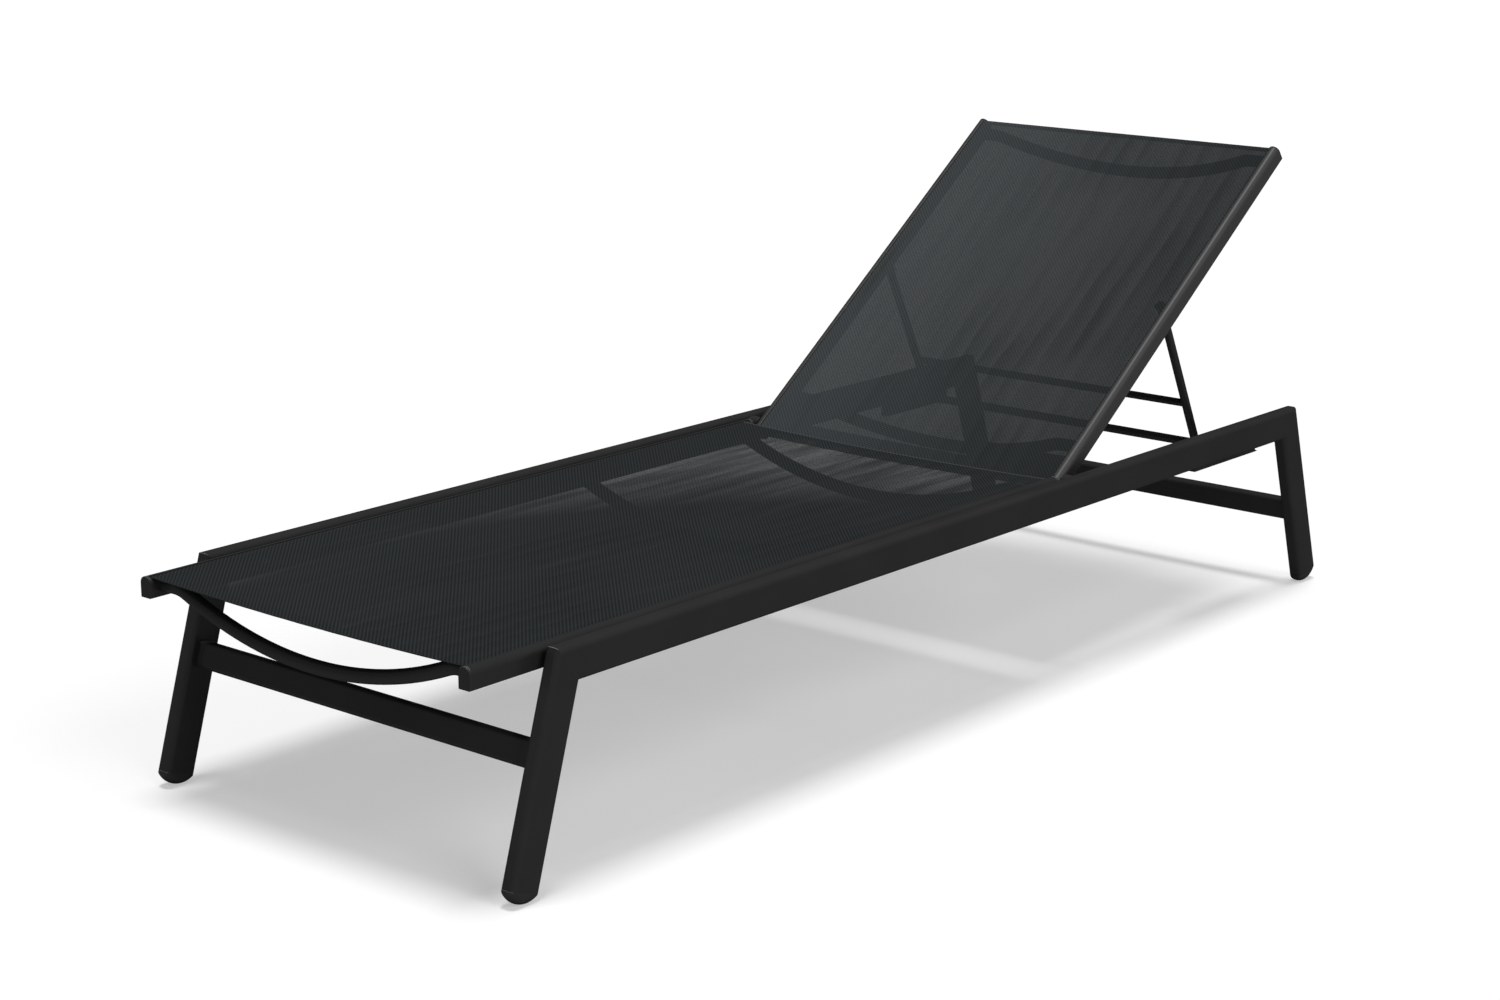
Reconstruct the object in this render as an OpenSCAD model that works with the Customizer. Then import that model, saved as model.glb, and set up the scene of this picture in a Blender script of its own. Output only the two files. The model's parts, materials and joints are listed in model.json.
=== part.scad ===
// Reclining sun lounger: two side frames of mitred tube, a mesh sling laced into grooved rails,
// bowed cross tubes under the sling, and a backrest held up by a swinging prop stand on two racks.
// X runs from the foot end to the head end, Y across, Z up. The user's left side has negative Y.

/* [Side frames] */
// Distance between the front and rear corners, along the tube's centre line
rail_length = 1752; // [1500:1:2000]
// Height of the top of the side rails above the ground
rail_height = 318; // [260:1:420]
// Overall width over the two side frames
frame_width = 695; // [600:1:800]
// Depth of the frame tube, seen from the side
tube_depth = 50; // [40:0.5:60]
// Thickness of the frame tube, seen from the end
tube_thick = 25; // [20:0.5:32]
// Outer corner radius of the frame tube
tube_corner = 8; // [4:0.5:9]
// Wall of the frame tube
tube_wall = 2; // [1.5:0.1:3]
// Outward lean of the legs, in degrees from vertical
leg_rake = 16.8; // [8:0.1:20]

/* [Stretchers] */
// Height of the front stretcher's centre
front_stretcher_height = 178.7; // [120:0.1:210]
// Height of the rear stretcher's centre
rear_stretcher_height = 131.3; // [90:0.1:200]
// Depth of a stretcher, along the legs
stretcher_depth = 38; // [28:0.5:44]
// Thickness of a stretcher
stretcher_thick = 20; // [16:0.5:24]
// Outer corner radius of a stretcher
stretcher_corner = 6; // [3:0.5:7]
// Wall of a stretcher
stretcher_wall = 1.8; // [1.5:0.1:2.5]

/* [Feet] */
// Height of a foot cap's straight rim above its dome
foot_rim = 1.5; // [1:0.1:6]
// Radius of the foot's dome seen from the side, less half the tube's depth
foot_dome_extra = 11; // [7:0.5:20]
// Radius of the foot's dome seen from the end, less half the tube's thickness
foot_side_extra = 0.5; // [0.5:0.5:4]
// Depth of the flat pad cut into the dome
foot_pad_cut = 0.4; // [0.2:0.1:1.5]
// Length of the plug that holds a cap in its tube
plug_length = 18; // [8:1:30]
// Clearance of a plug in its tube
plug_clear = 0.15; // [0.05:0.05:0.4]

/* [Sling rails] */
// Width of the grooved sling rails
sling_rail_width = 20; // [18:0.5:26]
// Depth of the seat's sling rails
seat_rail_depth = 30; // [27:0.5:36]
// Depth of the backrest's sling rails
back_rail_depth = 27; // [26:0.5:36]
// Radius of the two lower edges of a sling rail
sling_rail_edge = 1.5; // [0.5:0.1:3]
// Wall of a sling rail's hollow part
sling_rail_wall = 2; // [1.5:0.1:3]
// Drop from the side rail's top to the seat rail's top
seat_rail_drop = 1.5; // [0:0.1:6]
// Gap between a seat rail and the side rail beside it
seat_rail_gap = 7.2; // [4:0.1:12]
// Gap between a back rail and the side rail beside it
back_rail_gap = 17.7; // [16.5:0.1:24]
// Distance that the seat rails reach past the front corners, with their caps
seat_overhang = 140.5; // [60:0.5:200]
// Gap between a seat rail's rear end and the backrest's hinge axis
seat_end_gap = 29.2; // [26.5:0.1:45]
// Thickness of an end cap's flange
cap_thick = 3; // [1.5:0.1:5]

/* [Sling] */
// Thickness of the mesh fabric
fabric_thick = 1; // [0.6:0.1:1.2]
// Clearance around the fabric
fabric_clear = 0.3; // [0.1:0.05:0.35]
// Distance from a seat rail's front end to the edge of the fabric
fabric_front_inset = 5.5; // [5:0.5:40]
// Distance from a seat rail's rear end to the edge of the fabric
fabric_rear_inset = 17; // [8:0.5:40]
// Width of the slot that the fabric passes through
slot_width = 1.8; // [1.8:0.1:2.4]
// Distance from a rail's crown to the outer side of its slot, measured across
slot_offset = 2.7; // [2:0.1:3.5]
// Depth of the shelf beside the slot, below the crown
shelf_depth = 1.8; // [1.6:0.1:2.2]
// Diameter of the channel that holds the spline
channel_d = 5.2; // [4.6:0.1:5.4]
// Depth of the channel's centre below the crown
channel_depth = 6.2; // [5.6:0.1:6.4]
// Diameter of the spline
spline_d = 4.4; // [3.6:0.1:4.5]

/* [Bowed cross tubes] */
// Diameter of the bowed tubes
bow_d = 20; // [16:0.5:22]
// Wall of the bowed tubes
bow_wall = 1.5; // [1:0.1:2.5]
// Sag of a bow's middle below its ends
bow_sag = 54.5; // [35:0.5:60]
// Half span that the bow radius is given for
bow_half_span = 295.3; // [280:0.1:310]
// Radius of a bow's middle arc over that half span, at other spans in proportion to their square
bow_radius = 650; // [600:5:700]
// Radius of the reverse bends near the bow's ends
bow_bend = 60; // [40:1:70]
// Distance from the seat rail's front end to the front bow
front_bow_inset = 26.7; // [20:0.1:60]
// Distance from the front corners to the middle bow
middle_bow_place = 670; // [500:1:800]
// Distance from the seat rail's rear end to the rear bow
rear_bow_inset = 58.8; // [25:0.1:90]
// Distance from the hinge to the backrest's low bow
low_bow_place = 70; // [60:0.5:120]
// Distance from the back rail's top end to the top bow
top_bow_inset = 25; // [18:0.5:60]

/* [Backrest] */
// Distance from the front corners to the hinge axis
seat_length = 1138; // [1000:1:1250]
// Depth of the hinge axis below the side rail's top
hinge_drop = 15.1; // [13.5:0.1:20]
// Angle of the backrest above flat, as it stands
back_angle = 36.03; // [25:0.01:38]
// Angle from there up to the highest notch
lift_angle = 5; // [2:0.5:5]
// Length of the back rails above the hinge axis
back_length = 754.5; // [700:0.5:780]
// Length of the back rails below the hinge axis
back_tail = 20; // [15:0.5:21]

/* [Hinges] */
// Diameter of the hinge bolts
hinge_bolt_d = 8; // [6:0.5:8.5]
// Outer diameter of the hinge bushes
bush_d = 22; // [18:0.5:26]
// Radial clearance of a turning part on its bolt
running_clear = 0.08; // [0.05:0.01:0.1]
// Radial clearance of a bolt in a fixed part
bolt_clear = 0.05; // [0.03:0.01:0.1]
// Clearance beside a turning part
side_clear = 0.3; // [0.2:0.05:0.6]
// Height of a bolt's head
head_height = 4; // [3:0.1:5]
// Length of a rivet nut inside its tube
rivet_nut_length = 11; // [8:0.5:14]

/* [Seat fixings] */
// Diameter of the small bolts that hold the seat rails and the prop stand
small_bolt_d = 6; // [4:0.5:6]
// Diameter of the spacers between seat rails and side rails
spacer_d = 16; // [12:0.5:18]
// Number of fixings along each seat rail
seat_fixings = 3; // [2:1:6]
// Distance from a seat rail's end to its first and last fixing
fixing_inset = 200; // [190:1:260]

/* [Prop stand] */
// Diameter of the prop legs and of the lower bar
prop_d = 14; // [10:0.5:16]
// Diameter of the upper bar
upper_bar_d = 12.5; // [8:0.5:14]
// Wall of the prop stand's tubes
prop_wall = 1.5; // [1:0.1:2]
// Gap between a back rail and the prop leg beside it
prop_gap = 2.8; // [2:0.1:6]
// Distance from the hinge axis to the prop stand's pivot
prop_pivot = 381; // [360:1:400]
// Distance that the lower bar lies behind the pivot, as it stands
prop_reach = 121; // [110:1:160]
// Distance from the pivot to the upper bar
upper_bar_place = 191.8; // [150:0.1:215]
// Clearance between the lower bar and the back rails when folded flat
bar_clear = 0.9; // [0.6:0.1:3]
// Length of a prop leg past its pivot
prop_end = 3; // [2:0.5:6]
// Thickness of the lower bar's end caps
prop_cap_thick = 2; // [1:0.5:3]
// Length of an end cap's plug inside the lower bar
prop_plug_length = 10; // [6:1:16]
// Distance from a prop bolt's end to the back rail's far wall
prop_bolt_gap = 1; // [0.5:0.1:2]

/* [Racks] */
// Width of a rack's ledge
ledge_width = 10; // [8:0.5:11]
// Thickness of a rack's back plate
plate_thick = 3; // [2:0.1:4]
// Clearance between the lower bar and a rack, over the whole travel
rack_clear = 1.5; // [0.6:0.1:2]
// Depth that a rack hangs below the side rail
rack_hang = 14; // [12:0.5:18]
// Distance from a rack's upper edge to the side rail's top
rack_top_drop = 9.5; // [9:0.1:12]
// Length of the stop in front of the highest notch
stop_length = 12; // [10:0.5:20]
// Angle between neighbouring notches
notch_step = 5; // [4:0.5:6]
// Number of notches
notches = 4; // [3:1:4]
// Depth of a notch below the ledge
notch_depth = 1.5; // [0.5:0.1:2]
// Extra radius of a notch over the bar
notch_extra = 1; // [0.5:0.1:2]
// Diameter of the rack screws
rack_screw_d = 5; // [3:0.5:5]
// Distance from a screw's bore to the rack's upper edge
rack_screw_edge = 4; // [3:0.5:5]
// Distance from the rearmost screw to the rack's rear end
rack_screw_inset = 8; // [6:0.5:12]
// Length of a rack screw inside the side rail
rack_screw_end = 6; // [4:0.5:8]
// Height of a rack screw's head
rack_head_height = 1.8; // [1:0.1:2]

/* [Hidden] */
$fn = 64;
bow_arc_facets = 256;
bow_ring_facets = 32;
foot_facets = 96;
bar_facets = 48;

frame_colour = "#2e2f31";
cap_colour = "#18191a";
fabric_colour = "#34393a";
steel_colour = "#8d9092";

// Side frame
rail_z = rail_height - tube_depth / 2;
rail_bottom = rail_height - tube_depth;
inner_face = frame_width / 2 - tube_thick;
tube_y = frame_width / 2 - tube_thick / 2;
mitre_angle = 45 - leg_rake / 2;

// Feet: the dome is part of a torus whose centre lies on the leg's axis, with its axis across
foot_dome = tube_depth / 2 + foot_dome_extra;
foot_side_dome = tube_thick / 2 + foot_side_extra;
dome_height = foot_dome - foot_pad_cut;
dome_run = (rail_z - dome_height) * tan(leg_rake);
dome_rise = sqrt(pow(foot_dome, 2) - pow(tube_depth / 2, 2));
foot_run = dome_run + tube_depth / 2 * cos(leg_rake) + dome_rise * sin(leg_rake);
// The seam between leg and cap: just above the place where the dome meets the tube's wide face
dome_at_face = foot_dome - foot_side_dome + sqrt(pow(foot_side_dome, 2) - pow(tube_thick / 2, 2));
seam_drop = sqrt(pow(dome_at_face, 2) - pow(tube_depth / 2 - tube_corner, 2)) - foot_rim;
leg_length = (rail_z - dome_height) / cos(leg_rake) + seam_drop;

// The origin stands below the middle of the overall length
middle_x = (rail_length + foot_run - seat_overhang) / 2;

// Sling rails: the origin of their section is the centre of the round top
crown_r = sling_rail_width / 2;
slot_place = -slot_offset - slot_width / 2;
shelf_level = crown_r - shelf_depth;
channel_level = crown_r - channel_depth;
web_level = -1.5;
hollow_width = sling_rail_width - 2 * sling_rail_wall;

seat_rail_y = inner_face - seat_rail_gap - crown_r;
seat_crown_z = rail_height - seat_rail_drop - crown_r;
seat_rail_mid = rail_height - seat_rail_drop - seat_rail_depth / 2;
seat_front = -seat_overhang;
seat_rear = seat_length - seat_end_gap;

back_rail_y = inner_face - back_rail_gap - crown_r;
back_crown_n = back_rail_depth / 2 - crown_r;
hinge_z = rail_height - hinge_drop;

// Prop stand: lower bar clear of the back rails when folded flat, and at the same height as it stands
bar_r = prop_d / 2;
bar_drop = back_rail_depth / 2 + bar_r + bar_clear;
prop_fall = prop_pivot * sin(back_angle) + bar_drop;
prop_length = norm([prop_reach, prop_fall]);
prop_rest = -atan2(prop_fall, prop_reach) - back_angle;
prop_flat = -asin(bar_drop / prop_length);
prop_ratio = (prop_rest - prop_flat) / back_angle;
prop_leg_y = back_rail_y - crown_r - prop_gap - bar_r;
bar_end = inner_face - plate_thick - rack_clear;

// Angle of the prop stand to the backrest, with the backrest raised by t
function prop_turn(t) = prop_rest + prop_ratio * (t - back_angle);
// Centre of the lower bar, seen from the side
function bar_at(t) = [
  seat_length + prop_pivot * cos(t) + prop_length * cos(t + prop_turn(t)),
  hinge_z + prop_pivot * sin(t) + prop_length * sin(t + prop_turn(t))
];
// Direction in which the bar moves as the backrest rises, from two angles close by
heading_angle = 0.1;
function bar_heading(t) =
  let (step = bar_at(t + heading_angle) - bar_at(t - heading_angle)) step / norm(step);
// Point below the bar's path, at a distance
function below_bar(t, distance) = bar_at(t) + distance * [-bar_heading(t)[1], bar_heading(t)[0]];

highest = back_angle + lift_angle;
lowest_notch = highest - notch_step * (notches - 1);
// Share of a step that the ledge runs on past the lowest notch
ledge_run_on = 0.3;
rack_rear_angle = lowest_notch - notch_step * ledge_run_on;
stop_inner = bar_at(highest)[0] - bar_r - rack_clear;
stop_outer = stop_inner - stop_length;
rack_rear = bar_at(rack_rear_angle)[0];
rack_bottom = rail_bottom - rack_hang;
rack_top = rail_height - rack_top_drop;
screw_z = rack_top - rack_screw_edge - rack_screw_d / 2;

seat_fixing_z = seat_crown_z + web_level - (seat_rail_depth - crown_r + web_level - sling_rail_wall) / 2;

// Half spans between the inner faces of the sling rails
seat_half = seat_rail_y - crown_r;
back_half = back_rail_y - crown_r;

// How far a cut goes past the face it starts at
cut = 1;
// Widths as shares of a bolt's diameter
head_seat_width = 1.2;
head_rim_width = 1.75;
nut_width = 1.6;
washer_width = 2.2;
screw_head_width = 1.8;

module place() translate([-middle_x, 0, 0]) children();
module left() mirror([0, 1, 0]) children();
module at_hinge() place() translate([seat_length, 0, hinge_z]) children();
module on_back() at_hinge() rotate([0, -back_angle, 0]) children();
module on_prop() on_back() translate([prop_pivot, 0, 0]) rotate([0, -prop_rest, 0]) children();
module across() rotate([-90, 0, 0]) children();

// Rectangle with round corners, centred
module round_rect(width, height, r) {
  square([width - 2 * r, height], center = true);
  square([width, height - 2 * r], center = true);
  for (x = [-1, 1], y = [-1, 1])
    translate([x * (width / 2 - r), y * (height / 2 - r)]) circle(r = r);
}

// Frame tube around the Z axis, with its depth along X
module frame_bar(length, inset = 0)
  linear_extrude(length)
    round_rect(tube_depth - 2 * inset, tube_thick - 2 * inset, tube_corner - inset);

module frame_tube(length) {
  difference() {
    frame_bar(length);
    translate([0, 0, -cut]) frame_bar(length + 2 * cut, tube_wall);
  }
}

// The rail's side of the front mitre, for the frame tube at tube_y
module mitre_side()
  translate([0, tube_y - tube_thick, rail_z])
    rotate([0, -mitre_angle, 0])
      translate([0, 0, -rail_length]) cube([2 * rail_length, 2 * tube_thick, 2 * rail_length]);

module leg_side()
  translate([0, tube_y - tube_thick, rail_z])
    rotate([0, -mitre_angle, 0])
      translate([-rail_height, 0, -rail_height]) cube([rail_height, 2 * tube_thick, 2 * rail_height]);

// Swaps the front corner for the rear one
module rearward() translate([rail_length, 0, 0]) mirror([1, 0, 0]) children();

module bolt_bores(bore_d, x, z)
  translate([x, inner_face - cut, z]) across() cylinder(h = tube_wall + 2 * cut, d = bore_d);

function fixing_x(i) =
  seat_front + fixing_inset + i * (seat_rear - seat_front - 2 * fixing_inset) / (seat_fixings - 1);
function screw_x(i) =
  stop_outer + stop_length / 2 + i * (rack_rear - rack_screw_inset - stop_outer - stop_length / 2) / 2;

module side_rail() {
  color(frame_colour)
    difference() {
      intersection() {
        translate([-tube_depth, tube_y, rail_z])
          rotate([0, 90, 0])
            frame_tube(rail_length + 2 * tube_depth);
        mitre_side();
        rearward() mitre_side();
      }
      bolt_bores(hinge_bolt_d + 2 * bolt_clear, seat_length, hinge_z);
      for (i = [0 : seat_fixings - 1]) bolt_bores(small_bolt_d + 2 * bolt_clear, fixing_x(i), seat_fixing_z);
      for (i = [0 : 2]) bolt_bores(rack_screw_d + 2 * bolt_clear, screw_x(i), screw_z);
    }
}

module along_leg() translate([0, tube_y, rail_z]) rotate([0, leg_rake, 0]) children();

module leg() {
  color(frame_colour)
    intersection() {
      along_leg() translate([0, 0, -leg_length]) frame_tube(leg_length + 2 * tube_depth);
      leg_side();
    }
}

// Domed along and across the leg, with a small flat pad below
module foot_shape() {
  reach = 2 * foot_dome;
  translate([-dome_run, tube_y, 0])
    intersection() {
      translate([0, 0, dome_height])
        across()
          rotate_extrude($fn = foot_facets) {
            translate([foot_dome - foot_side_dome, 0]) circle(r = foot_side_dome);
            translate([0, -foot_side_dome]) square([foot_dome - foot_side_dome, 2 * foot_side_dome]);
          }
      translate([-reach, -tube_thick, 0]) cube([2 * reach, 2 * tube_thick, 2 * reach]);
    }
}

module foot() {
  color(cap_colour) {
    intersection() {
      along_leg() translate([0, 0, -leg_length - 2 * tube_thick]) frame_bar(2 * tube_thick);
      foot_shape();
    }
    along_leg()
      translate([0, 0, -leg_length - cut])
        frame_bar(plug_length + cut, tube_wall + plug_clear);
  }
}

// Stretcher on a leg's axis, at a height, for the front legs
module stretcher(height) {
  color(frame_colour)
    translate([-(rail_z - height) * tan(leg_rake), -inner_face, height])
      rotate([0, leg_rake, 0])
        across()
          linear_extrude(2 * inner_face)
            difference() {
              round_rect(stretcher_thick, stretcher_depth, stretcher_corner);
              round_rect(stretcher_thick - 2 * stretcher_wall, stretcher_depth - 2 * stretcher_wall,
                         stretcher_corner - stretcher_wall);
            }
}

// Outline of a sling rail's section: X towards the outside, Y up, round top
module rail_outline(depth) {
  circle(r = crown_r);
  translate([-crown_r, -(depth - crown_r) + sling_rail_edge])
    square([sling_rail_width, depth - crown_r - sling_rail_edge]);
  translate([-crown_r + sling_rail_edge, -(depth - crown_r)])
    square([sling_rail_width - 2 * sling_rail_edge, depth - crown_r]);
  for (x = [-1, 1])
    translate([x * (crown_r - sling_rail_edge), -(depth - crown_r) + sling_rail_edge])
      circle(r = sling_rail_edge);
}

module rail_hollow(depth, clear = 0)
  translate([-hollow_width / 2 + clear, -(depth - crown_r) + sling_rail_wall + clear])
    square([hollow_width - 2 * clear, depth - crown_r - sling_rail_wall + web_level - 2 * clear]);

module rail_section(depth)
  difference() {
    rail_outline(depth);
    translate([-crown_r - cut, shelf_level]) square([crown_r + cut - slot_offset, crown_r]);
    translate([slot_place - slot_width / 2, channel_level]) square([slot_width, crown_r]);
    translate([slot_place, channel_level]) circle(d = channel_d);
    rail_hollow(depth);
  }

// Lays a section along X: its X goes to +Y, its Y goes to +Z
module lay(length) rotate([90, 0, 90]) linear_extrude(length) children();

module end_cap(depth) {
  color(cap_colour) {
    lay(cap_thick) rail_outline(depth);
    lay(cap_thick + plug_length) rail_hollow(depth, plug_clear);
  }
}

module at_seat_rail(x) translate([x, seat_rail_y, seat_crown_z]) children();

module seat_rail() {
  color(frame_colour)
    difference() {
      at_seat_rail(seat_front + cap_thick)
        lay(seat_rear - seat_front - 2 * cap_thick) rail_section(seat_rail_depth);
      for (i = [0 : seat_fixings - 1])
        translate([fixing_x(i), seat_half - cut, seat_fixing_z])
          across()
            cylinder(h = sling_rail_width + 2 * cut, d = small_bolt_d + 2 * bolt_clear);
    }
}

module seat_front_cap() at_seat_rail(seat_front) end_cap(seat_rail_depth);
module seat_rear_cap() at_seat_rail(seat_rear) mirror([1, 0, 0]) end_cap(seat_rail_depth);

module spline(length) {
  color(cap_colour)
    translate([0, slot_place, channel_level])
      rotate([0, 90, 0])
        cylinder(h = length, d = spline_d);
}

module seat_spline()
  at_seat_rail(seat_front + cap_thick)
    spline(seat_rear - seat_front - 2 * cap_thick);

// Fabric between two rails whose crowns stand at y, along X
module fabric(y, length) {
  color(fabric_colour)
    for (side = [0, 1])
      mirror([0, side, 0])
        rotate([90, 0, 90])
          linear_extrude(length) {
            translate([0, shelf_level + fabric_clear]) square([y - slot_offset - fabric_clear, fabric_thick]);
            translate([y + slot_place - fabric_thick / 2, channel_level + spline_d / 2 + fabric_clear])
              square([fabric_thick, shelf_level - channel_level - spline_d / 2 + fabric_thick]);
          }
}

module seat_sling()
  translate([seat_front + fabric_front_inset, 0, seat_crown_z])
    fabric(seat_rail_y, seat_rear - seat_front - fabric_front_inset - fabric_rear_inset);

module bow_section()
  difference() {
    circle(d = bow_d, $fn = bow_ring_facets);
    circle(d = bow_d - 2 * bow_wall, $fn = bow_ring_facets);
  }

function part_below(x) = x - floor(x);

// Moves in whole, thousandth and finer steps, which add up to the exact distance
module fine_move(x, y)
  translate([floor(x), floor(y), 0])
    translate([floor(1000 * part_below(x)) / 1000, floor(1000 * part_below(y)) / 1000, 0])
      translate([part_below(1000 * part_below(x)) / 1000, part_below(1000 * part_below(y)) / 1000, 0])
        children();

// One half of a bow in the X-Y plane, from its lowest point at the origin to its end at a distance
module half_bow(half_span, end) {
  radius = round(1000 * bow_radius * pow(half_span / bow_half_span, 2)) / 1000;
  turn = round(10000 * acos(1 - bow_sag / (radius + bow_bend))) / 10000;
  shoulder = (radius + bow_bend) * sin(turn);
  rise = (radius + bow_bend) * (1 - cos(turn));
  translate([0, radius, 0])
    rotate([0, 0, -90])
      rotate_extrude(angle = turn, $fn = bow_arc_facets) translate([radius, 0]) bow_section();
  fine_move(shoulder, rise - bow_bend)
    rotate([0, 0, 90])
      rotate_extrude(angle = turn) translate([bow_bend, 0]) bow_section();
  fine_move(shoulder, rise)
    rotate([0, 90, 0])
      linear_extrude(end - shoulder) bow_section();
}

// Bow between two rails of a depth, its ends level with the rails' middle and coped to them
module bow(half_span, depth) {
  color(frame_colour)
    difference() {
      translate([0, 0, -bow_sag])
        rotate([90, 0, 90]) {
          half_bow(half_span, half_span + crown_r);
          mirror([1, 0, 0]) half_bow(half_span, half_span + crown_r);
        }
      for (side = [0, 1])
        mirror([0, side, 0])
          translate([-bow_d, half_span + crown_r, depth / 2 - crown_r]) lay(2 * bow_d) rail_outline(depth);
    }
}

module seat_bow(x) translate([x, 0, seat_rail_mid]) bow(seat_half, seat_rail_depth);

// Bolt along +Y with its head's seat at the origin
module bolt(d, length) {
  color(steel_colour) {
    across() cylinder(h = length, d = d);
    translate([0, -head_height, 0])
      across()
        cylinder(h = head_height, d1 = head_seat_width * d, d2 = head_rim_width * d);
  }
}

module ring(outer_d, inner_d, length)
  across()
    difference() {
      cylinder(h = length, d = outer_d);
      translate([0, 0, -cut]) cylinder(h = length + 2 * cut, d = inner_d);
    }

module seat_fixing(i) translate([fixing_x(i), 0, seat_fixing_z]) children();

module seat_spacers_right() {
  color(cap_colour)
    for (i = [0 : seat_fixings - 1])
      seat_fixing(i)
        translate([0, inner_face - seat_rail_gap, 0])
          ring(spacer_d, small_bolt_d + 2 * bolt_clear, seat_rail_gap);
}

module seat_bolts_right()
  for (i = [0 : seat_fixings - 1])
    seat_fixing(i)
      translate([0, seat_half, 0])
        bolt(small_bolt_d, sling_rail_width + seat_rail_gap + tube_wall + rivet_nut_length);

module rivet_nut(d) {
  color(steel_colour)
    translate([0, inner_face + tube_wall, 0])
      ring(nut_width * d, d + 2 * bolt_clear, rivet_nut_length);
}

module rivet_nuts_right() {
  translate([seat_length, 0, hinge_z]) rivet_nut(hinge_bolt_d);
  for (i = [0 : seat_fixings - 1]) seat_fixing(i) rivet_nut(small_bolt_d);
}

module hinge_bolt()
  translate([seat_length, back_half - side_clear, hinge_z])
    bolt(hinge_bolt_d, sling_rail_width + back_rail_gap + side_clear + tube_wall + rivet_nut_length);

module hinge_bush() {
  color(cap_colour)
    translate([seat_length, inner_face - back_rail_gap + side_clear, hinge_z])
      ring(bush_d, hinge_bolt_d + 2 * bolt_clear, back_rail_gap - side_clear);
}

// Ledge of a rack, seen from the side: a front stop, then an edge that follows the bar's path
module ledge_shape()
  polygon(concat(
    [[stop_outer, rack_bottom], [stop_outer, rack_top], [stop_inner, rack_top]],
    [[stop_inner, below_bar(highest, bar_r + rack_clear)[1]]],
    [for (t = [highest : -1 : rack_rear_angle]) below_bar(t, bar_r + rack_clear)],
    [[rack_rear + bar_r, rack_bottom]]
  ));

module rack() {
  color(cap_colour)
    difference() {
      union() {
        translate([0, inner_face, 0])
          rotate([90, 0, 0])
            linear_extrude(plate_thick + ledge_width) ledge_shape();
        translate([stop_outer, inner_face - plate_thick, rack_bottom])
          cube([rack_rear - stop_outer, plate_thick, rack_top - rack_bottom]);
      }
      for (i = [0 : notches - 1])
        let (spot = below_bar(highest - i * notch_step, rack_clear + notch_depth - notch_extra))
          translate([spot[0], inner_face - plate_thick - ledge_width - cut, spot[1]])
            across()
              cylinder(h = ledge_width + cut, r = bar_r + notch_extra);
      for (i = [0 : 2])
        translate([screw_x(i), inner_face - plate_thick - ledge_width - cut, screw_z])
          across()
            cylinder(h = plate_thick + ledge_width + 2 * cut, d = rack_screw_d + 2 * bolt_clear);
    }
}

module rack_screw(i) {
  seat_y = inner_face - plate_thick - (i == 0 ? ledge_width : 0);
  color(steel_colour)
    translate([screw_x(i), seat_y, screw_z]) {
      across() cylinder(h = inner_face - seat_y + tube_wall + rack_screw_end, d = rack_screw_d);
      translate([0, -rack_head_height, 0])
        across()
          cylinder(h = rack_head_height, d = screw_head_width * rack_screw_d);
    }
}

module rack_screws_right() for (i = [0 : 2]) rack_screw(i);

module at_back_rail(s) translate([s, back_rail_y, back_crown_n]) children();

module back_rail() {
  color(frame_colour)
    difference() {
      at_back_rail(-back_tail + cap_thick)
        lay(back_length + back_tail - 2 * cap_thick) rail_section(back_rail_depth);
      translate([0, back_half - cut, 0])
        across()
          cylinder(h = sling_rail_width + 2 * cut, r = hinge_bolt_d / 2 + running_clear);
      translate([prop_pivot, back_half - cut, 0])
        across()
          cylinder(h = cut + sling_rail_width - sling_rail_wall, r = small_bolt_d / 2 + bolt_clear);
    }
}

module back_top_cap() at_back_rail(back_length) mirror([1, 0, 0]) end_cap(back_rail_depth);

// The low cap's plug stops short of the hinge bolt
module back_low_cap() {
  color(cap_colour)
    at_back_rail(-back_tail) {
      lay(cap_thick) rail_outline(back_rail_depth);
      lay(back_tail - hinge_bolt_d) rail_hollow(back_rail_depth, plug_clear);
    }
}

module back_spline()
  at_back_rail(-back_tail + cap_thick)
    spline(back_length + back_tail - 2 * cap_thick);

module back_sling()
  translate([-back_tail + cap_thick, 0, back_crown_n])
    fabric(back_rail_y, back_length + back_tail - 2 * cap_thick);

module back_bow(s) translate([s, 0, 0]) bow(back_half, back_rail_depth);

module prop_bolt()
  translate([prop_pivot, prop_leg_y - bar_r - side_clear, 0])
    bolt(small_bolt_d, prop_d + prop_gap + side_clear + sling_rail_width - sling_rail_wall - prop_bolt_gap);

module prop_washer() {
  color(cap_colour)
    translate([prop_pivot, prop_leg_y + bar_r + side_clear, 0])
      ring(washer_width * small_bolt_d, small_bolt_d + 2 * bolt_clear, prop_gap - side_clear);
}

// Round bar along a prop leg's axis, from a place to another
module prop_leg_bar(d, from, to)
  translate([from, prop_leg_y, 0])
    rotate([0, 90, 0])
      cylinder(h = to - from, d = d, $fn = bar_facets);

module prop_leg() {
  color(frame_colour)
    difference() {
      union() {
        prop_leg_bar(prop_d, -prop_end, prop_length);
        translate([-prop_end, prop_leg_y, 0]) sphere(d = prop_d, $fn = bar_facets);
      }
      prop_leg_bar(prop_d - 2 * prop_wall, prop_d, prop_length + cut);
      translate([0, prop_leg_y - prop_d, 0])
        across()
          cylinder(h = 2 * prop_d, r = small_bolt_d / 2 + running_clear);
      translate([prop_length, prop_leg_y - prop_d, 0])
        across()
          cylinder(h = 2 * prop_d, d = prop_d, $fn = bar_facets);
    }
}

module prop_upper_bar() {
  color(frame_colour)
    difference() {
      translate([upper_bar_place, -prop_leg_y, 0])
        ring(upper_bar_d, upper_bar_d - 2 * prop_wall, 2 * prop_leg_y);
      prop_leg_bar(prop_d, 0, prop_length);
      left() prop_leg_bar(prop_d, 0, prop_length);
    }
}

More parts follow.
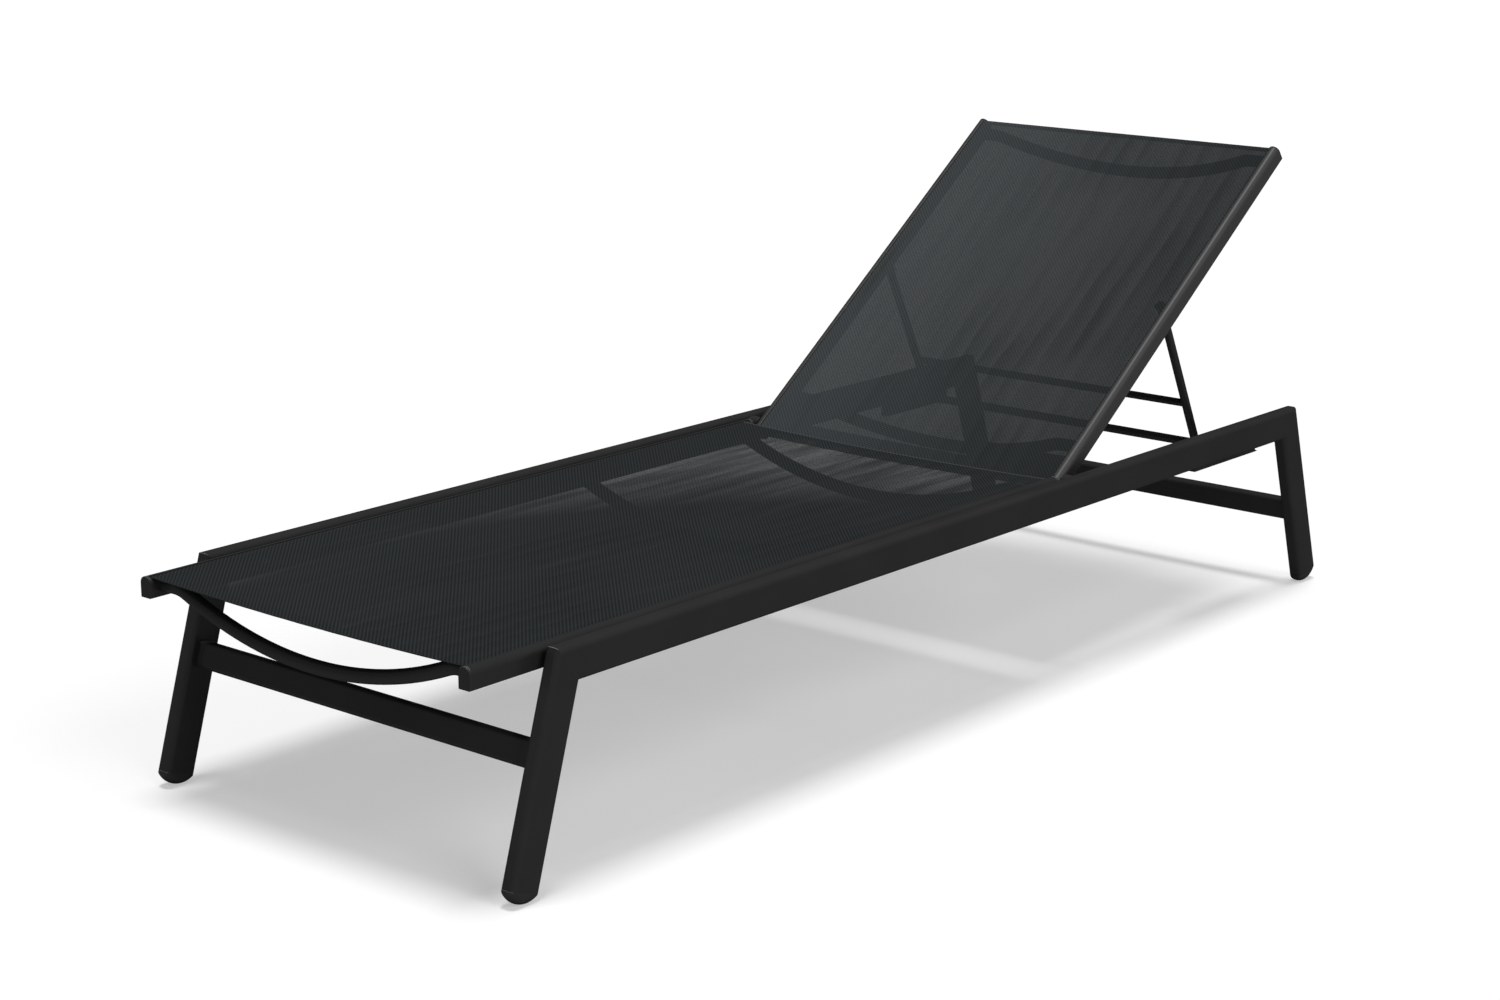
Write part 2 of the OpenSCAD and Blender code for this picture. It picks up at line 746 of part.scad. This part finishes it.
module prop_lower_bar() {
  bar_half = bar_end - prop_cap_thick;
  color(frame_colour)
    translate([prop_length, -bar_half, 0]) ring(prop_d, prop_d - 2 * prop_wall, 2 * bar_half);
}

module prop_cap() {
  color(cap_colour)
    translate([prop_length, bar_end, 0])
      rotate([90, 0, 0]) {
        cylinder(h = prop_cap_thick, d = prop_d, $fn = bar_facets);
        cylinder(h = prop_cap_thick + prop_plug_length, d = prop_d - 2 * prop_wall - 2 * plug_clear,
                 $fn = bar_facets);
      }
}

place() left() side_rail();  // side_rail_left
place() side_rail();  // side_rail_right
place() left() leg();  // front_leg_left
place() leg();  // front_leg_right
place() left() rearward() leg();  // rear_leg_left
place() rearward() leg();  // rear_leg_right
place() left() foot();  // front_foot_left
place() foot();  // front_foot_right
place() left() rearward() foot();  // rear_foot_left
place() rearward() foot();  // rear_foot_right
place() stretcher(front_stretcher_height);  // front_stretcher
place() rearward() stretcher(rear_stretcher_height);  // rear_stretcher
place() left() seat_rail();  // seat_rail_left
place() seat_rail();  // seat_rail_right
place() left() seat_front_cap();  // seat_front_cap_left
place() seat_front_cap();  // seat_front_cap_right
place() left() seat_rear_cap();  // seat_rear_cap_left
place() seat_rear_cap();  // seat_rear_cap_right
place() seat_bow(seat_front + front_bow_inset);  // seat_bow_front
place() seat_bow(middle_bow_place);  // seat_bow_middle
place() seat_bow(seat_rear - rear_bow_inset);  // seat_bow_rear
union() {  // seat_spacers
  place() seat_spacers_right();
  place() left() seat_spacers_right();
}
union() {  // seat_bolts
  place() seat_bolts_right();
  place() left() seat_bolts_right();
}
place() left() seat_spline();  // seat_spline_left
place() seat_spline();  // seat_spline_right
place() seat_sling();
place() left() rack();  // rack_left
place() rack();  // rack_right
union() {  // rack_screws
  place() rack_screws_right();
  place() left() rack_screws_right();
}
place() left() hinge_bolt();  // hinge_bolt_left
place() hinge_bolt();  // hinge_bolt_right
place() left() hinge_bush();  // hinge_bush_left
place() hinge_bush();  // hinge_bush_right
union() {  // rivet_nuts
  place() rivet_nuts_right();
  place() left() rivet_nuts_right();
}
on_back() left() back_rail();  // back_rail_left
on_back() back_rail();  // back_rail_right
on_back() left() back_top_cap();  // back_top_cap_left
on_back() back_top_cap();  // back_top_cap_right
on_back() left() back_low_cap();  // back_low_cap_left
on_back() back_low_cap();  // back_low_cap_right
on_back() back_bow(low_bow_place);  // back_bow_low
on_back() back_bow(back_length - top_bow_inset);  // back_bow_top
on_back() left() back_spline();  // back_spline_left
on_back() back_spline();  // back_spline_right
on_back() back_sling();
on_back() left() prop_bolt();  // prop_bolt_left
on_back() prop_bolt();  // prop_bolt_right
on_back() left() prop_washer();  // prop_washer_left
on_back() prop_washer();  // prop_washer_right
on_prop() left() prop_leg();  // prop_leg_left
on_prop() prop_leg();  // prop_leg_right
on_prop() prop_upper_bar();
on_prop() prop_lower_bar();
on_prop() left() prop_cap();  // prop_cap_left
on_prop() prop_cap();  // prop_cap_right
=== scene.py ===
"""Reclining sun lounger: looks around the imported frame. Metres, +X to the head end, +Z up."""
import json
import math

import bpy
import numpy as np
from mathutils import Matrix, Vector


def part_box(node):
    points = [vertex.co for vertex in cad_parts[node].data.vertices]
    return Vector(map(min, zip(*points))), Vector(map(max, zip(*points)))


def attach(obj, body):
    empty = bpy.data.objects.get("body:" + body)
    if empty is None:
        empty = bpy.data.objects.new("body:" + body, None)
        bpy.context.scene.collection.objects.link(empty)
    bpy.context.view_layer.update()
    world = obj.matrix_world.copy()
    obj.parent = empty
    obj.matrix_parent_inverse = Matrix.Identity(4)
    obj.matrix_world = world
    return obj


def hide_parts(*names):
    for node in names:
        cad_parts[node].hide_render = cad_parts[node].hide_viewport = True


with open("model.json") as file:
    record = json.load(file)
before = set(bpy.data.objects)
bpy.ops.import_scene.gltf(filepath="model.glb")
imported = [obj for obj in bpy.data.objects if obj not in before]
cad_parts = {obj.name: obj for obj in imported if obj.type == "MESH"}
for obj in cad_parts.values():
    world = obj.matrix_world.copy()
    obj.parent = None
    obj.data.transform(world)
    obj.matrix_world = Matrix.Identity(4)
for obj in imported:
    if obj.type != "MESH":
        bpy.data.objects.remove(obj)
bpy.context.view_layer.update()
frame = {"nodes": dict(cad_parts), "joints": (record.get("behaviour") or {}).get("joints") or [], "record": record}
MM = 0.001
SEED = 7

# ---------------------------------------------------------------- the mesh cloth
CLOTH_THICK = 1.0 * MM
CELL = 6.6 * MM  # a basket cell of the weave
YARN = CELL / 6
# painted shade: the pitch of the darker fold lines painted into the cloth's tone
FOLD_PITCH = 38 * MM  # from one shaded fold to the next
SAG = 5 * MM  # at mid width
SAG_FADE = 150 * MM  # the way over which the sag sets in from a straight end
FOLD_FADE = 90 * MM  # the way over which the folds set in from an end
COLUMNS = 150  # mesh faces across a panel
ROW = 8 * MM  # their length along it
LIP = 0.8 * MM  # rounding over the edge of a rail's slot
HEM_RADIUS = 0.8 * MM
SEAT_HEMS = (25 * MM, 45 * MM)  # turned under at the foot end and at the hinge
BACK_HEMS = (30 * MM, 8 * MM)  # at the hinge and at the head end
BACK_LAP = 4 * MM  # how far the back's cloth passes its CAD solid at the hinge
SEAT_FOLD, BACK_FOLD = 1.6 * MM, 1.2 * MM  # fold heights

# ---------------------------------------------------------------- tones
# painted highlight: the grey painted on sharp end rims that look up, and the rounding radius that finds them
RIM_HIGHLIGHT_TONE, RIM_RADIUS = 0.5, 0.9 * MM
DEEP_TINT, PALE_TINT = (0.88, 1.03, 1.08), (0.92, 1.02, 1.07)
STREAK_TONE, STREAK_TINT = 0.035, (0.95, 1.0, 1.04)
# painted highlight: the tone painted along the hems where the two panels meet
HEM_HIGHLIGHT_TONE, HEM_HIGHLIGHT_TINT = 0.075, (0.94, 1.0, 1.04)

# ---------------------------------------------------------------- stage, light and camera
FLOOR_HALF = 40
FLOOR_TONE = 0.6  # as it lights the object
FLOOR_SEEN, FLOOR_OWN_WHITE = 0.575, 0.435  # as it is seen: what it takes from the light, what it gives itself
# painted shadow: through the mesh the floor's tone is painted darker close round the middle, over these distances
# and tones
SHADE_REACH, SHADE_TONES = (1.05, 1.34), (0.03, 0.92)  # through the mesh: distances from the middle, tones there
WORLD_LIGHT = 0.16
WHITE = 1.0
LAMP_DISTANCE = 4
LAMPS = (("overhead", 2.3, 18, (0, 0, -1)), ("near_side", 0.9, 30, (0.05, 0.8, -0.6)))
CAMERA_PLACE = (-3.2805, -2.6963, 1.3701)
CAMERA_HEADING, CAMERA_TILT = 40.37, -14.44
CAMERA_LENS, CAMERA_SENSOR = 68.6, 36

# ---------------------------------------------------------------- places, from the frame
joints = {j["name"]: j for j in frame["joints"]}
hinge = Vector(joints["backrest_recline"]["pos_m"])
back_angle = math.radians(-joints["backrest_recline"]["range_deg"][0])
back_turn = Matrix.Rotation(-back_angle, 4, "Y")
to_back = (Matrix.Translation(hinge) @ back_turn).inverted()


def back_point(s, y, n):
    """A point of the backrest: s along it from the hinge, n out of its front."""
    return hinge + back_turn @ Vector((s, y, n))


def back_box(node):
    """A node's lowest and highest corner in the backrest's own directions."""
    co = np.array([to_back @ v.co for v in frame["nodes"][node].data.vertices])
    return Vector(co.min(0)), Vector(co.max(0))


seat_low, seat_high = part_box("seat_sling")
rest_low, rest_high = back_box("back_sling")
seat_length = seat_high.x - seat_low.x


# ---------------------------------------------------------------- node helpers
class Nodes:
    """Short names for building a material's or the world's node tree."""

    def __init__(self, name, world=None):
        self.material = world or bpy.data.materials.new(name)
        self.material.use_nodes = True
        self.tree = self.material.node_tree
        self.tree.nodes.clear()
        self.out = self.tree.nodes.new("ShaderNodeOutputWorld" if world else "ShaderNodeOutputMaterial")

    def add(self, kind, inputs=None, **settings):
        node = self.tree.nodes.new("ShaderNode" + kind)
        for key, value in settings.items():
            setattr(node, key, value)
        for key, value in (inputs or {}).items():
            self.put(node.inputs[key], value)
        return node

    def put(self, socket, value):
        if isinstance(value, bpy.types.NodeSocket):
            self.tree.links.new(value, socket)
        elif isinstance(value, bpy.types.Node):
            self.tree.links.new(value.outputs[0], socket)
        else:
            socket.default_value = value

    def math(self, operation, a, b=0.0, c=0.0, clamp=False):
        node = self.add("Math", {0: a, 1: b, 2: c}, operation=operation, use_clamp=clamp)
        return node.outputs[0]

    def mix(self, factor, a, b):
        node = self.add("Mix", data_type="RGBA")
        self.put(node.inputs[0], factor)
        self.put(node.inputs[6], a)
        self.put(node.inputs[7], b)
        return node.outputs[2]

    def noise(self, where, scale, detail=2.0, roughness=0.5):
        node = self.add("TexNoise", {"Vector": where, "Scale": scale, "Detail": detail, "Roughness": roughness})
        return node.outputs[0]

    def stretched_noise(self, where, across, along, detail):
        """Noise of its own pitch across and along the cloth."""
        scaled = self.add("Mapping", {"Vector": where, "Scale": (across, along, 1.0)}).outputs[0]
        return self.noise(scaled, 1.0, detail)

    def wave(self, value, pitch):
        return self.math("SINE", self.math("MULTIPLY", value, 2 * math.pi / pitch))

    def range(self, value, low, high, to_low=0.0, to_high=1.0):
        node = self.add("MapRange", {"Value": value, "From Min": low, "From Max": high,
                                     "To Min": to_low, "To Max": to_high}, clamp=True)
        return node.outputs[0]

    def matt(self, tone, rough, bump):
        """A surface without the shader's own highlight."""
        shader = self.add("BsdfPrincipled", {"Base Color": tone, "Roughness": rough, "Normal": bump})
        shader.inputs["Specular IOR Level"].default_value = 0.0
        return shader

    def finish(self, shader):
        self.put(self.out.inputs["Surface"], shader)
        return self.material


def grey(value, tint=(1.0, 1.0, 1.0)):
    return (value * tint[0], value * tint[1], value * tint[2], 1.0)


# ---------------------------------------------------------------- materials
def painted_highlight_rims(m):
    """Mask of a painted highlight: how far a point lies on a sharp end rim that looks up, where caps and mitred
    corners are painted light grey as if they caught the light.
    """
    rounded = m.add("Bevel", {"Radius": RIM_RADIUS}, samples=12).outputs[0]
    flat = m.add("NewGeometry").outputs["Normal"]
    agree = m.add("VectorMath", {0: rounded, 1: flat}, operation="DOT_PRODUCT").outputs["Value"]
    axes = m.add("SeparateXYZ", {0: rounded}).outputs
    looks_up = m.range(axes[2], 0.4, 0.7)
    looks_endwise = m.range(m.math("ABSOLUTE", axes[0]), 0.3, 0.5)
    return m.math("MULTIPLY", m.range(agree, 0.98, 0.85), m.math("MULTIPLY", looks_up, looks_endwise))


def with_gloss(m, shader, share, rough, bump):
    """Adds an even, weak gloss to a matt shader."""
    gloss = m.add("BsdfGlossy", {"Color": grey(share), "Normal": bump})
    gloss.inputs["Roughness"].default_value = rough
    return m.finish(m.add("AddShader", {0: shader.outputs[0], 1: gloss.outputs[0]}))


def powder_coat(name, gloss, gloss_rough):
    """Charcoal powder coat: fine texture, slight cloudiness."""
    m = Nodes(name)
    place = m.add("TexCoord").outputs["Object"]
    cloud = m.noise(place, 9.0, 3.0)
    grain = m.noise(place, 1900.0, 2.0)
    peel = m.noise(place, 420.0, 2.0)
    tone = m.mix(m.range(cloud, 0.35, 0.65), grey(0.0235), grey(0.0265))
    tone = m.mix(m.range(grain, 0.55, 0.75), tone, grey(0.031))
    # painted highlight: up-facing end rims are painted light grey
    tone = m.mix(painted_highlight_rims(m), tone, grey(RIM_HIGHLIGHT_TONE))
    bump = m.add("Bump", {"Strength": 0.12, "Distance": 0.2 * MM, "Height": grain})
    bump = m.add("Bump", {"Strength": 0.1, "Distance": 0.6 * MM, "Height": peel, "Normal": bump})
    shader = m.matt(tone, m.range(cloud, 0.3, 0.7, 0.45, 0.55), bump)
    return with_gloss(m, shader, gloss, gloss_rough, bump)


def moulded_plastic():
    """Black moulded plastic of caps, bushes and racks."""
    m = Nodes("moulded_plastic")
    place = m.add("TexCoord").outputs["Object"]
    grain = m.noise(place, 900.0, 3.0)
    cloud = m.noise(place, 25.0, 2.0)
    tone = m.mix(m.range(cloud, 0.3, 0.7), grey(0.028), grey(0.032))
    # painted highlight: up-facing end rims are painted light grey
    tone = m.mix(painted_highlight_rims(m), tone, grey(RIM_HIGHLIGHT_TONE))
    bump = m.add("Bump", {"Strength": 0.1, "Distance": 0.3 * MM, "Height": grain})
    shader = m.matt(tone, m.range(cloud, 0.3, 0.7, 0.42, 0.5), bump)
    return with_gloss(m, shader, 0.004, 0.3, bump)


def stainless():
    """Turned stainless bolt heads."""
    m = Nodes("stainless")
    place = m.add("TexCoord").outputs["Object"]
    lines = m.noise(place, 700.0, 4.0)
    tone = m.mix(m.range(lines, 0.3, 0.7), grey(0.26), grey(0.36))
    shader = m.add("BsdfPrincipled", {"Base Color": tone, "Roughness": m.range(lines, 0.3, 0.7, 0.28, 0.42)})
    shader.inputs["Metallic"].default_value = 1.0
    return m.finish(shader)


def painted_fold_shade(m, flat, across):
    """Painted shade of soft folds along the cloth: each fades from a painted darker line at its foot, and they come
    and go in patches.
    """
    sway = m.stretched_noise(flat, 5.0, 2.2, 3.0)
    fold = m.math("FRACT", m.math("MULTIPLY_ADD", sway, 1.3, m.math("MULTIPLY", across, 1 / FOLD_PITCH)))
    line = m.range(fold, 0.0, 0.12, 1.0, 0.0)
    spread = m.stretched_noise(flat, 4.5, 3.2, 2.0)
    patch = m.math("MULTIPLY", m.range(spread, 0.40, 0.58), m.range(across, 0.17, 0.0))
    return m.math("MULTIPLY", m.math("MULTIPLY_ADD", line, 0.24, m.math("MULTIPLY", fold, 0.30)), patch)


def mesh_fabric(name, deep, pale, opening, drift, streaky):
    """Woven coated mesh, dark grey: basket cells, yarn relief, small openings, and painted shade of soft folds
    along its length.

    deep and pale: the tones of its cells; opening: how far it can be seen through; drift: how much painted side
    light raises its tone from one edge to the other; streaky: how unevenly it opens.
    """
    m = Nodes(name)
    flat = m.add("UVMap", uv_map="cut").outputs[0]
    axes = m.add("SeparateXYZ", {0: flat})
    across, along = axes.outputs[0], axes.outputs[1]

    # basket cells of six yarns each way, which show as fine diagonal rows
    cell = m.math("MULTIPLY", m.wave(along, CELL), m.wave(across, CELL))
    warp = m.math("MULTIPLY_ADD", m.wave(across, YARN), 0.5, 0.5)
    weft = m.math("MULTIPLY_ADD", m.wave(along, YARN), 0.5, 0.5)
    tone = m.mix(m.range(cell, -1.0, 1.0), grey(deep, DEEP_TINT), grey(pale, PALE_TINT))

    # painted shade: a mask of darker fold lines painted into the tone; it also tightens the openings
    depth = painted_fold_shade(m, flat, across)
    # painted shade: the tone is darkened towards black along the folds
    tone = m.mix(m.math("MULTIPLY", depth, 0.5), tone, grey(0.0))
    # painted side light: the tone is painted lighter towards one edge of the panel and darker towards the other, by
    # drift
    shade = m.range(across, -0.3, 0.3, 1 - drift, 1 + drift)
    tone = m.add("VectorMath", {0: tone, 1: shade}, operation="MULTIPLY").outputs[0]
    streak = m.stretched_noise(flat, 42.0, 4.0, 2.0)
    tone = m.mix(m.range(streak, 0.58, 0.76, 0.0, 0.4), tone, grey(STREAK_TONE, STREAK_TINT))

    # painted highlight: the folded edges where the two panels meet are painted a little lighter, as a thin
    # highlight along the hems
    from_joint = m.math("ABSOLUTE", m.math("SUBTRACT", along, seat_length))
    tone = m.mix(m.range(from_joint, 3 * MM, 6 * MM, 0.8, 0.0), tone, grey(HEM_HIGHLIGHT_TONE, HEM_HIGHLIGHT_TINT))

    relief = m.math("MULTIPLY_ADD", m.math("ADD", warp, weft), 0.4, m.math("MULTIPLY", cell, 0.5))
    bump = m.add("Bump", {"Strength": 0.25, "Distance": 0.4 * MM, "Height": relief})
    shader = m.matt(tone, m.range(streak, 0.3, 0.7, 0.55, 0.65), bump)

    # openings between the yarns, clearest at their middle, tighter in the folds
    uneven = m.range(streak, 0.36, 0.64, 1 - streaky, 1 + streaky)
    gap = m.math("MULTIPLY", m.math("MULTIPLY", warp, weft), uneven)
    hole = m.math("MULTIPLY", gap, m.math("MULTIPLY_ADD", depth, -7.5 * opening, 4.4 * opening), clamp=True)
    return m.finish(m.add("MixShader", {0: hole, 1: shader.outputs[0], 2: m.add("BsdfTransparent").outputs[0]}))


def dress_frame():
    """Gives every CAD node its material, by the record's slot; the back's rails carry a glossier coat."""
    made = {"frame": powder_coat("powder_coat", 0.005, 0.22), "plastic": moulded_plastic(), "fixings": stainless()}
    shiny_coat = powder_coat("shiny_powder_coat", 0.025, 0.45)
    for part in frame["record"]["subparts"]:
        name = part["node"]
        look = shiny_coat if name.startswith("back_rail_") else made.get(part["material_slot"])
        for slot in frame["nodes"][name].material_slots if look else ():
            slot.material = look


# ---------------------------------------------------------------- the sling
def mesh_object(name, points, faces, uv=None):
    mesh = bpy.data.meshes.new(name)
    mesh.from_pydata([tuple(p) for p in points], [], faces)
    if uv is not None:
        layer = mesh.uv_layers.new(name="cut")
        for loop in mesh.loops:
            layer.data[loop.index].uv = uv[loop.vertex_index]
    for polygon in mesh.polygons:
        polygon.use_smooth = True
    mesh.update()
    obj = bpy.data.objects.new(name, mesh)
    bpy.context.scene.collection.objects.link(obj)
    return obj


class Folds:
    """Soft folds along a panel: long waves across it that come and go along its length."""

    def __init__(self, seed, height):
        rng = np.random.default_rng(seed)
        self.height = height
        self.terms = [(rng.uniform(0.03, 0.075), rng.uniform(-1.5, 1.5), rng.uniform(0, 6.3),
                       rng.uniform(0.35, 0.9), rng.uniform(0, 6.3)) for _ in range(6)]

    def at(self, across, along):
        total = 0.0
        for pitch, drift, start, length, phase in self.terms:
            wave = math.sin(2 * math.pi * (across / pitch) + drift * along + start)
            total += wave * (0.5 + 0.5 * math.sin(2 * math.pi * along / length + phase))
        return self.height * total / len(self.terms)


def turned_hem(hem):
    """Rows of a hem, as (distance from the edge, height): from its inner end under the cloth and round the edge."""
    parts = math.ceil(hem / ROW)
    under = [(HEM_RADIUS + hem * (1 - k / parts), -2 * HEM_RADIUS) for k in range(parts)]
    return under + [(HEM_RADIUS * (1 - math.sin(a)), -HEM_RADIUS * (1 - math.cos(a)))
                    for a in (math.pi, 3 * math.pi / 4, math.pi / 2, math.pi / 4)]


def build_panel(name, node, place, low, high, start, folds, hems, end_sag):
    """One sling panel: place(along, y, n) gives its points; low and high are its box in those directions.

    start: how far along the whole sling it begins; hems: how far the cloth is turned under at its low and high
    end; end_sag: how much of the sag those ends keep.
    """
    half = high.y - CLOTH_THICK / 2
    top = high.z - CLOTH_THICK / 2
    depth = high.z - low.z - CLOTH_THICK / 2
    length = high.x - low.x
    # across: up out of one slot, over its lip, along the panel and down into the other slot
    edge = [(-half, -depth), (-half, -depth * 0.4)]
    edge += [(-half + LIP * (1 - math.cos(a)), -LIP * (1 - math.sin(a)))
             for a in (0, math.pi / 6, math.pi / 3, math.pi / 2)]
    inner = half - LIP
    across = edge + [(-inner + 2 * inner * k / COLUMNS, 0.0) for k in range(1, COLUMNS)]
    across += [(-y, n) for y, n in reversed(edge)]
    # along: a hem, the panel and a hem
    steps = round(length / ROW)
    rows = turned_hem(hems[0])
    rows += [(HEM_RADIUS + (length - 2 * HEM_RADIUS) * k / steps, 0.0) for k in range(steps + 1)]
    rows += [(length - d, n) for d, n in reversed(turned_hem(hems[1]))]
    points, uv = [], []
    for d, drop in rows:
        taut = min(1.0, 0.1 + min(d, length - d) / FOLD_FADE)
        sag = min(kept + (1 - kept) * min(1.0, reach / SAG_FADE) for kept, reach in zip(end_sag, (d, length - d)))
        run, previous = 0.0, None
        for y, n in across:
            if previous is not None:
                run += math.hypot(y - previous[0], n - previous[1])
            previous = (y, n)
            calm = max(0.0, 1 - (y / half) ** 2)
            slack = -SAG * calm * sag + folds.at(y, start + d) * min(1.0, 3 * calm) * taut
            tuck = drop if abs(y) < inner else 0.0
            points.append(place(low.x + d, y, top + n + slack + tuck))
            uv.append((run - half - depth + LIP, start + d - (drop if d > length / 2 else -drop)))
    width = len(across)
    faces = [(r * width + c, (r + 1) * width + c, (r + 1) * width + c + 1, r * width + c + 1)
             for r in range(len(rows) - 1) for c in range(width - 1)]
    panel = mesh_object(name, points, faces, uv)
    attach(panel, "base" if node == "seat_sling" else "backrest")
    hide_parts(node)
    return panel


def build_slings():
    """The seat sags at both ends, the back only at its lower one."""
    seat = build_panel("seat_panel", "seat_sling", lambda x, y, z: Vector((x, y, z)), seat_low, seat_high, 0.0,
                       Folds(SEED, SEAT_FOLD), SEAT_HEMS, (1.0, 1.0))
    lower_end = Vector((rest_low.x - BACK_LAP, rest_low.y, rest_low.z))
    back = build_panel("back_panel", "back_sling", back_point, lower_end, rest_high, seat_length,
                       Folds(SEED + 1, BACK_FOLD), BACK_HEMS, (1.0, 0.0))
    # painted light: seat and back are one cloth, made as shaded and lit copies in two tones, the back painted
    # lighter
    seat.data.materials.append(mesh_fabric("seat_mesh", deep=0.009, pale=0.044, opening=0.043,
                                           drift=0.0, streaky=0.5))
    back.data.materials.append(mesh_fabric("back_mesh", deep=0.026, pale=0.060, opening=0.016,
                                           drift=0.36, streaky=0.15))


# ---------------------------------------------------------------- stage, light, camera
def shows_background(m):
    """1 on the rays that show the background: from the camera, in a reflection or through something clear."""
    ray = m.add("LightPath").outputs
    return m.math("ADD", m.math("ADD", ray["Is Camera Ray"], ray["Is Glossy Ray"]), ray["Is Transmission Ray"],
                  clamp=True)


def build_stage():
    """A pale floor: where it is seen it is part white of its own, which lifts the shadow to a light grey.

    Through the mesh it shows without that lift, with a painted shadow: its tone is painted darker close round the
    middle of the lounger.
    """
    side = FLOOR_HALF
    floor = mesh_object("floor", [(-side, -side, 0), (side, -side, 0), (side, side, 0), (-side, side, 0)],
                        [(0, 1, 2, 3)])
    m = Nodes("pale_floor")
    plain = m.add("BsdfDiffuse", {"Color": grey(FLOOR_TONE)})
    reach = m.add("VectorMath", {0: m.add("TexCoord").outputs["Object"]}, operation="LENGTH").outputs["Value"]
    # painted shadow: the floor seen through the mesh is painted darker close round the middle
    painted_shadow_floor = m.add("BsdfDiffuse", {"Color": m.range(reach, *SHADE_REACH, *SHADE_TONES)})
    toned = m.add("BsdfDiffuse", {"Color": grey(FLOOR_SEEN)})
    lift = m.add("Emission", {"Color": grey(FLOOR_OWN_WHITE), "Strength": 1.0})
    shown = m.add("AddShader", {0: toned.outputs[0], 1: lift.outputs[0]})
    behind_mesh = m.math("GREATER_THAN", m.add("LightPath").outputs["Transparent Depth"], 0.5)
    seen = m.add("MixShader", {0: behind_mesh, 1: shown.outputs[0], 2: painted_shadow_floor.outputs[0]})
    floor.data.materials.append(m.finish(m.add("MixShader", {0: shows_background(m), 1: plain.outputs[0],
                                                             2: seen.outputs[0]})))


def build_world():
    """Even studio light, white where it is seen."""
    world = bpy.data.worlds.new("studio")
    bpy.context.scene.world = world
    m = Nodes("studio", world)
    strength = m.range(shows_background(m), 0.0, 1.0, WORLD_LIGHT, WHITE)
    m.finish(m.add("Background", {"Strength": strength}))


def build_lights():
    """A broad lamp far overhead, whose shadow lies straight below, and a softer one to the near side."""
    for name, energy, angle, toward in LAMPS:
        data = bpy.data.lights.new(name, "SUN")
        data.energy = energy
        data.angle = math.radians(angle)
        lamp = bpy.data.objects.new(name, data)
        lamp.location = Vector(toward) * -LAMP_DISTANCE
        lamp.rotation_euler = Vector(toward).to_track_quat("-Z", "Y").to_euler()
        bpy.context.scene.collection.objects.link(lamp)


def build_camera():
    """Stands off the foot end's left corner, above the lounger, and looks a little down."""
    heading, tilt = math.radians(CAMERA_HEADING), math.radians(CAMERA_TILT)
    look = Vector((math.cos(heading) * math.cos(tilt), math.sin(heading) * math.cos(tilt), math.sin(tilt)))
    data = bpy.data.cameras.new("camera")
    data.lens = CAMERA_LENS
    data.sensor_width = CAMERA_SENSOR
    camera = bpy.data.objects.new("camera", data)
    camera.location = Vector(CAMERA_PLACE)
    camera.rotation_euler = look.to_track_quat("-Z", "Y").to_euler()
    bpy.context.scene.collection.objects.link(camera)
    bpy.context.scene.camera = camera


dress_frame()
build_slings()
build_stage()
build_world()
build_lights()
build_camera()
bpy.context.scene.view_settings.view_transform = "Standard"
